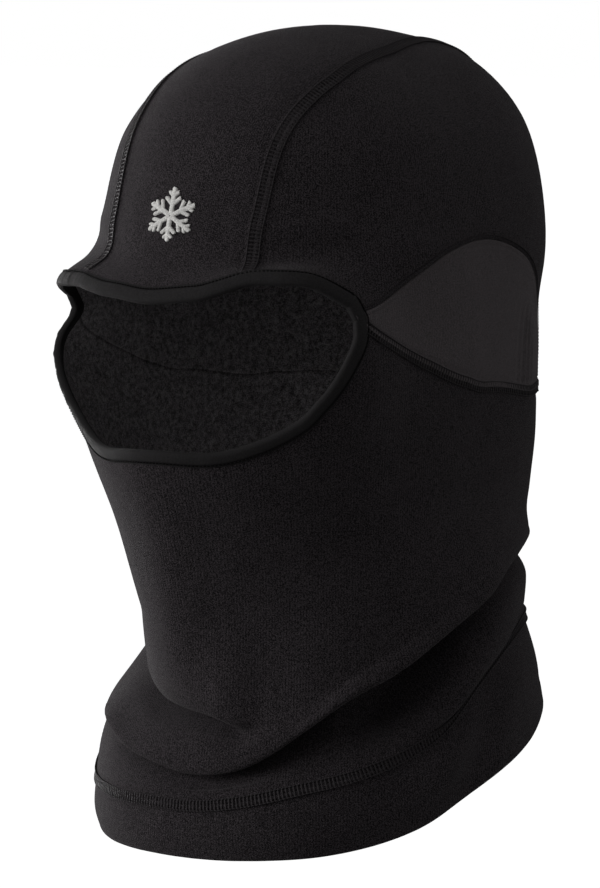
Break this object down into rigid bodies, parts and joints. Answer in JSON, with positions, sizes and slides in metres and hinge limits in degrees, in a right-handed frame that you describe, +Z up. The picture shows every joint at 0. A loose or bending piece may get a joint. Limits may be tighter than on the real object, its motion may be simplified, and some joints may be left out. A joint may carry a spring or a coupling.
{
  "type": "balaclava",
  "caption": "Black stretch-fleece ski balaclava with a wide eye opening, panelled crown, thin ear panels and a neck tube pushed up into folds.",
  "frame": {"origin": "inner apex of the crown, where the cap rests on the top of the head", "axes": "+Z up along the worn head, -Y the way the face looks, +X to the wearer's left"},
  "size_m": [0.1773, 0.2095, 0.3197],
  "materials": {
    "knit": "matte brushed stretch knit, fleecy inside",
    "ear_knit": "smooth fine stretch knit, slight sheen",
    "tape": "folded elastic tape, slight sheen",
    "thread": "polyester thread, soft sheen",
    "embroidery": "white satin-stitch thread, soft sheen",
    "label": "blank woven satin label"
  },
  "bodies": {
    "root": {"crown_panel": "knit", "side_panel_left": "knit", "side_panel_right": "knit", "face_neck_panel": "knit", "neck_band": "knit", "ear_panel_left": "ear_knit", "ear_panel_right": "ear_knit", "opening_binding": "tape", "crown_seam_left": "thread", "crown_seam_right": "thread", "nape_seam": "thread", "back_seam": "thread", "band_seam": "thread", "binding_topstitch": "thread", "ear_topstitch_left": "thread", "ear_topstitch_right": "thread", "forehead_motif": "embroidery", "care_label": "label"}
  },
  "joints": []
}
